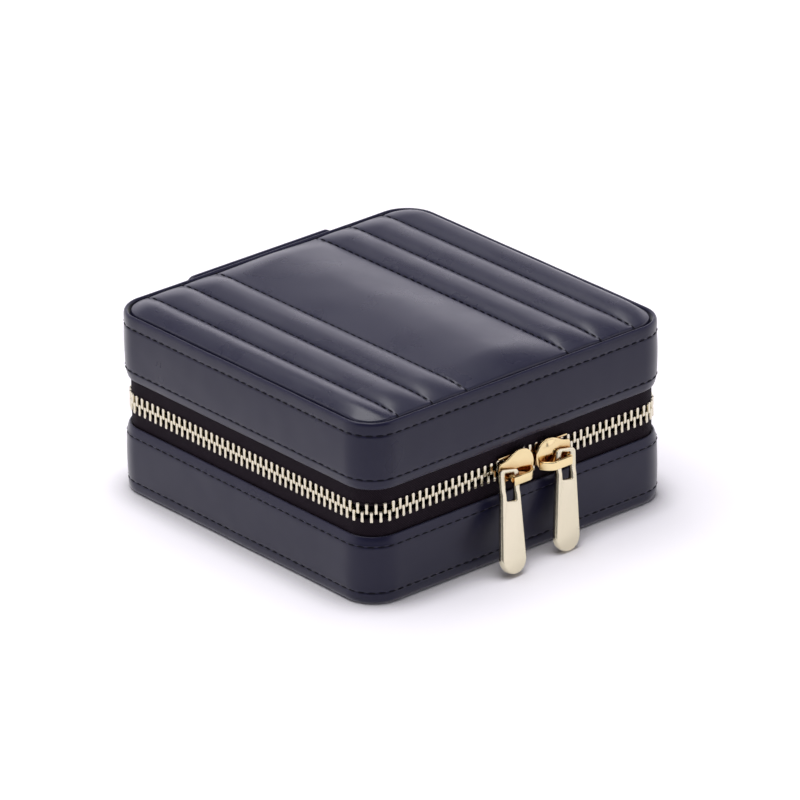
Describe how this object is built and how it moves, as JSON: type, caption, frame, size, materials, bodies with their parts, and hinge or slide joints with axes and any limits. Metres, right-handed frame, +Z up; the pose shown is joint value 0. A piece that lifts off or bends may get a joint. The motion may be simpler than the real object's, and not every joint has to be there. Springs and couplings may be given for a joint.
{
  "type": "leather jewellery case",
  "caption": "Square travel jewellery case in dark leather with a quilted padded lid, strap hinge, brass zip with paired sliders, lined tray with ring rolls, and a mirror.",
  "frame": {"origin": "centre of the flat underside, on the surface that the case stands on", "axes": "+Z up, -Y the front with the zip pulls, +Y the back with the hinge strap, +X to the right seen from the front"},
  "size_m": [0.12, 0.1319, 0.0609],
  "materials": {
    "base_leather": "smooth semi-gloss leather",
    "lid_leather": "smooth semi-gloss leather",
    "quilted_leather": "smooth semi-gloss quilted leather",
    "strap_leather": "smooth semi-gloss leather",
    "board": "grey pressed board",
    "foam": "thin foam padding",
    "lining": "velvet",
    "ring_roll": "velvet over foam",
    "zip_tape": "woven twill tape",
    "zip_metal": "polished pale brass",
    "slider_metal": "polished pale brass plating",
    "mirror": "silvered glass"
  },
  "bodies": {
    "base": {"base_bottom_leather": "base_leather", "base_board": "board", "base_side_padding": "foam", "base_side_leather": "base_leather", "base_lining": "lining", "long_divider": "lining", "cross_divider": "lining", "ring_roll_1": "ring_roll", "ring_roll_2": "ring_roll", "ring_roll_3": "ring_roll", "ring_roll_4": "ring_roll", "ring_roll_5": "ring_roll", "ring_roll_6": "ring_roll", "lower_zip_tape": "zip_tape", "lower_zip_teeth": "zip_metal", "lower_zip_stops": "zip_metal", "back_hinge_strap": "strap_leather"},
    "lid": {"lid_board": "board", "lid_side_padding": "foam", "lid_side_leather": "lid_leather", "lid_pad_foam": "foam", "lid_quilted_top": "quilted_leather", "lid_lining": "lining", "lid_mirror": "mirror", "upper_zip_tape": "zip_tape", "upper_zip_teeth": "zip_metal", "upper_zip_stops": "zip_metal"},
    "left_slider": {"left_slider_body": "slider_metal", "left_slider_bridge": "slider_metal"},
    "right_slider": {"right_slider_body": "slider_metal", "right_slider_bridge": "slider_metal"},
    "left_pull": {"left_pull_tab": "slider_metal"},
    "right_pull": {"right_pull_tab": "slider_metal"}
  },
  "joints": [
    {"name": "lid_hinge", "type": "hinge", "parent": "base", "child": "lid", "pos_m": [0, 0.06085, 0.0294], "axis": [-1, 0, 0], "range_deg": [0, 110], "deforming": ["back_hinge_strap"]},
    {"name": "left_slider_slide", "type": "slide", "parent": "base", "child": "left_slider", "axis": [-1, 0, 0], "range_m": [0, 0.039], "deforming": ["lower_zip_teeth", "upper_zip_teeth"]},
    {"name": "right_slider_slide", "type": "slide", "parent": "base", "child": "right_slider", "axis": [1, 0, 0], "range_m": [0, 0.03], "deforming": ["lower_zip_teeth", "upper_zip_teeth"]},
    {"name": "left_pull_swing", "type": "hinge", "parent": "left_slider", "child": "left_pull", "pos_m": [-0.0068, -0.06208, 0.0276], "axis": [0, 1, 0], "range_deg": [-23, 74]},
    {"name": "right_pull_swing", "type": "hinge", "parent": "right_slider", "child": "right_pull", "pos_m": [0.0156, -0.06208, 0.0276], "axis": [0, -1, 0], "range_deg": [-3.5, 93.5]}
  ]
}
